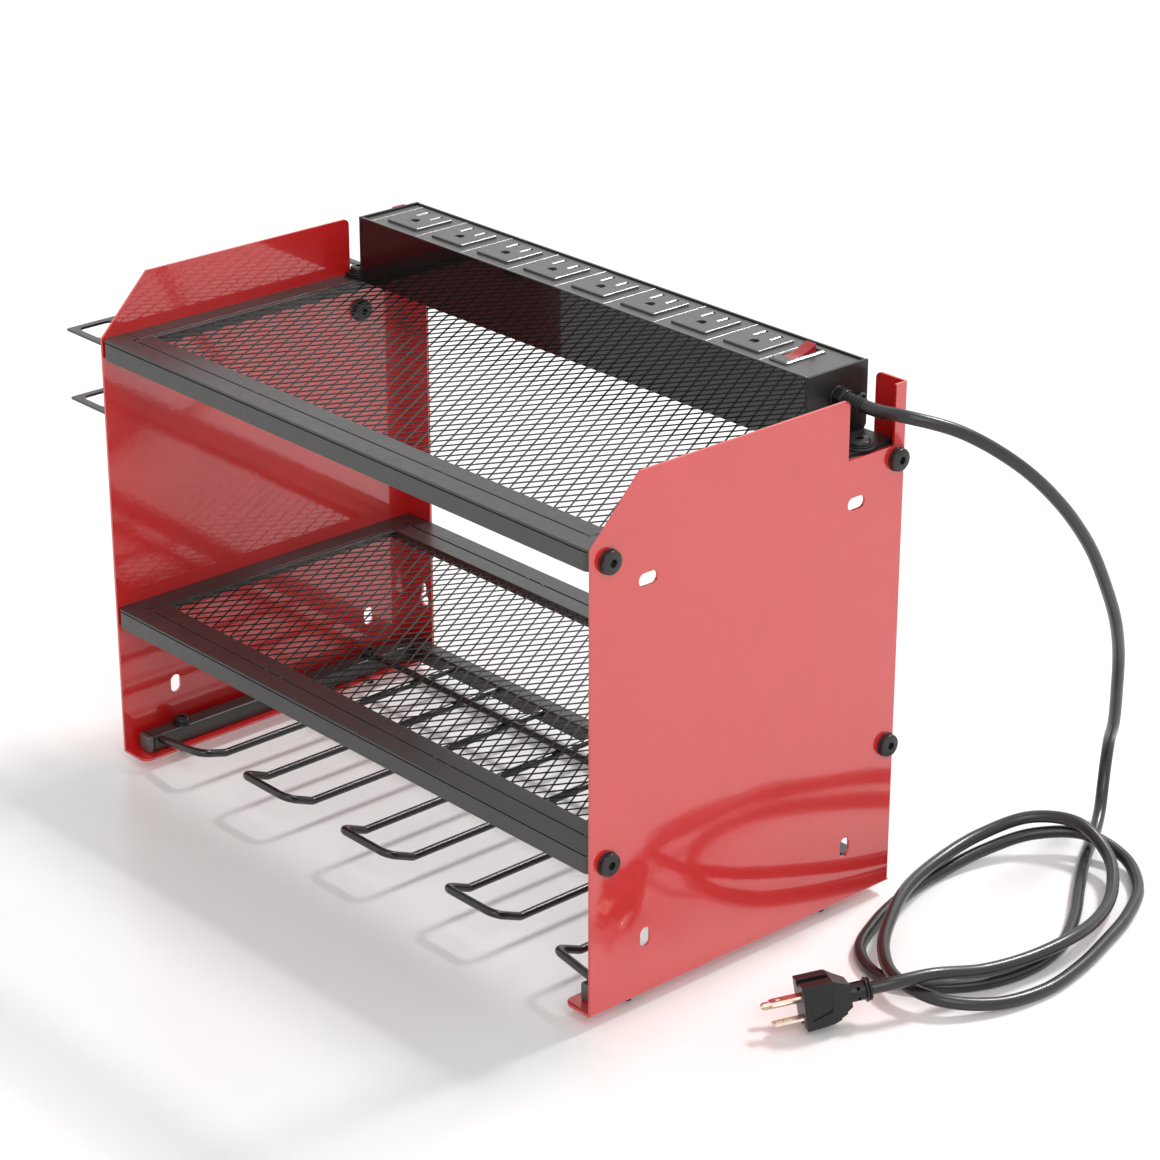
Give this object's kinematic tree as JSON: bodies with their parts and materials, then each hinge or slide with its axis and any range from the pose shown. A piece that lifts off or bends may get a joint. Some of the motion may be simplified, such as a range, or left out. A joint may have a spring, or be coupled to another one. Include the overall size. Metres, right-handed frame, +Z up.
{
  "type": "wall mounted power tool organizer",
  "caption": "Tool cabinet of two folded red side panels with black mesh shelves, wire hooks for drills, a side rack for hand tools and a power strip with its cord.",
  "frame": {"origin": "middle of the cabinet's footprint without its cord, on the floor under its feet", "axes": "+X along the shelves to the end with the cord, +Y to the wall, +Z up"},
  "size_m": [0.6242, 0.4146, 0.3313],
  "materials": {
    "red_paint": "gloss",
    "black_paint": "satin",
    "black_fastener": "satin",
    "copper_bar": "satin",
    "plug_brass": "polished",
    "cord_jacket": "matte",
    "moulded_vinyl": "matte",
    "rocker_lens": "gloss",
    "strip_casing": "satin",
    "black_plastic": "matte"
  },
  "bodies": {
    "cabinet": {"top_shelf_mesh": "black_paint", "lower_shelf_mesh": "black_paint", "power_cord": "cord_jacket", "strip_face_plate": "black_plastic", "side_rack": "black_paint", "side_panel_left": "red_paint", "side_panel_right": "red_paint", "strain_relief": "moulded_vinyl", "top_shelf_rear_rail": "black_paint", "drill_hook_1": "black_paint", "drill_hook_2": "black_paint", "drill_hook_3": "black_paint", "rack_bolt_left_front": "black_fastener", "rack_bolt_left_rear": "black_fastener", "rack_tube_left": "black_paint", "rack_bolt_right_front": "black_fastener", "rack_bolt_right_rear": "black_fastener", "rack_tube_right": "black_paint", "plug_body": "moulded_vinyl", "side_rack_bolt_rear": "black_fastener", "side_rack_bolt_front": "black_fastener", "strip_housing": "strip_casing", "switch_body": "black_plastic", "strip_ear_bolt_left": "black_fastener", "strip_ear_bolt_right": "black_fastener", "strip_end_cap_right": "strip_casing", "bus_bar_neutral": "copper_bar", "bus_bar_ground": "copper_bar", "bus_bar_hot": "copper_bar", "top_shelf_bolt_left_front": "black_fastener", "top_shelf_bolt_left_rear": "black_fastener", "top_shelf_bolt_right_front": "black_fastener", "top_shelf_bolt_right_rear": "black_fastener", "lower_shelf_bolt_left_front": "black_fastener", "lower_shelf_bolt_left_rear": "black_fastener", "lower_shelf_bolt_right_front": "black_fastener", "lower_shelf_bolt_right_rear": "black_fastener", "half_hook_left": "black_paint", "half_hook_right": "black_paint", "top_shelf_front_rail": "black_paint", "lower_shelf_front_rail": "black_paint", "lower_shelf_rear_rail": "black_paint", "strip_end_cap_left": "strip_casing", "strip_end_screw_left": "black_fastener", "strip_end_screw_right": "black_fastener", "top_shelf_left_rail": "black_paint", "top_shelf_right_rail": "black_paint", "plug_blade_hot": "plug_brass", "plug_blade_neutral": "plug_brass", "plug_ground_pin": "plug_brass", "top_shelf_frame": "black_paint", "lower_shelf_frame": "black_paint", "rack_rear_tube": "black_paint", "rack_end_cap_left": "black_plastic", "rack_end_cap_right": "black_plastic", "rack_cross_wire": "black_paint", "lower_shelf_left_rail": "black_paint", "lower_shelf_right_rail": "black_paint"},
    "rocker": {"switch_rocker": "rocker_lens"}
  },
  "joints": [
    {"name": "rocker_tip", "type": "hinge", "parent": "cabinet", "child": "rocker", "pos_m": [0.17945, 0.0899, 0.321], "axis": [1, 0, 0], "range_deg": [-20, 0]}
  ]
}
